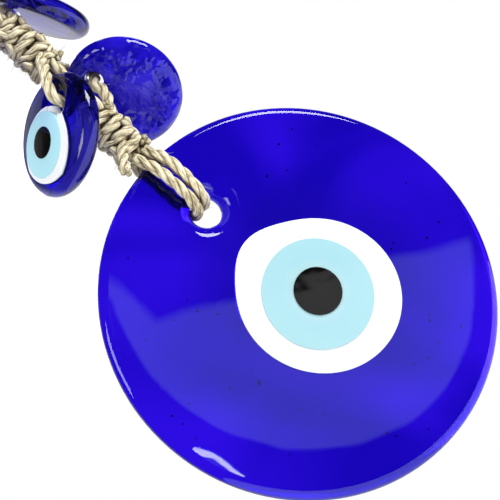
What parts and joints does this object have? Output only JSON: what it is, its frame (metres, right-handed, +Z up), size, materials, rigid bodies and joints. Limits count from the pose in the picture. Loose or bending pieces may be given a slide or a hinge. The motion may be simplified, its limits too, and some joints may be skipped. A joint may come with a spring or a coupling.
{
  "type": "evil eye ornament",
  "caption": "Hanging glass eye disc on a knotted jute cord, with smaller glass eye beads strung between the runs of knots and a cord loop to hang it by.",
  "frame": {"origin": "where the inside of the hanging loop rests on its nail", "axes": "+Z up, the ornament hangs down along -Z, the big eye faces -Y"},
  "size_m": [0.12, 0.0514, 0.2766],
  "materials": {
    "blue_glass": "gloss",
    "white_glass": "gloss",
    "light_blue_glass": "gloss",
    "pupil_glass": "gloss",
    "jute": "matte"
  },
  "bodies": {
    "loop": {"hanging_loop": "jute"},
    "rope": {"top_knots": "jute", "middle_knots": "jute", "low_knots": "jute", "low_strand_left": "jute", "low_strand_right": "jute", "high_strand_front": "jute", "high_strand_back": "jute", "low_left_cord": "jute", "low_right_cord": "jute", "high_right_cord": "jute", "high_left_cord": "jute", "loose_end": "jute"},
    "sling": {"disc_loop_left": "jute", "disc_loop_right": "jute"},
    "disc": {"disc_glass": "blue_glass", "disc_white": "white_glass", "disc_blue": "light_blue_glass", "disc_pupil": "pupil_glass"},
    "low_left_bead": {"low_left_glass": "blue_glass", "low_left_white": "white_glass", "low_left_blue": "light_blue_glass", "low_left_pupil": "pupil_glass"},
    "low_right_bead": {"low_right_glass": "blue_glass", "low_right_white": "white_glass", "low_right_blue": "light_blue_glass", "low_right_pupil": "pupil_glass"},
    "high_right_bead": {"high_right_glass": "blue_glass", "high_right_white": "white_glass", "high_right_blue": "light_blue_glass", "high_right_pupil": "pupil_glass"},
    "high_left_bead": {"high_left_glass": "blue_glass", "high_left_white": "white_glass", "high_left_blue": "light_blue_glass", "high_left_pupil": "pupil_glass"}
  },
  "joints": [
    {"name": "hanging_tip", "type": "hinge", "parent": "loop", "child": "rope", "pos_m": [0, 0, -0.057], "axis": [1, 0, 0], "range_deg": [-15, 15]},
    {"name": "disc_turn", "type": "hinge", "parent": "rope", "child": "sling", "pos_m": [-0.00135, 0, -0.149], "axis": [0, 0, 1], "range_deg": [-25, 25]},
    {"name": "disc_swing", "type": "hinge", "parent": "sling", "child": "disc", "pos_m": [0, 0, -0.175], "axis": [0, 1, 0], "range_deg": [-10, 10]},
    {"name": "low_left_swing", "type": "hinge", "parent": "rope", "child": "low_left_bead", "pos_m": [-0.0073, -0.0096, -0.125], "axis": [-0.6588, -0.4249, 0.6208], "range_deg": [0, 50]},
    {"name": "low_right_swing", "type": "hinge", "parent": "rope", "child": "low_right_bead", "pos_m": [0.0103, 0.007, -0.1218], "axis": [0.693, 0.644, 0.324], "range_deg": [-32, 5]},
    {"name": "high_right_swing", "type": "hinge", "parent": "rope", "child": "high_right_bead", "pos_m": [0.0091, 0.0043, -0.0868], "axis": [0.8788, -0.215, 0.4259], "range_deg": [-34, 12]},
    {"name": "high_left_swing", "type": "hinge", "parent": "rope", "child": "high_left_bead", "pos_m": [-0.0098, -0.0035, -0.0889], "axis": [-0.6539, 0.1, 0.7499], "range_deg": [-15, 35]}
  ]
}
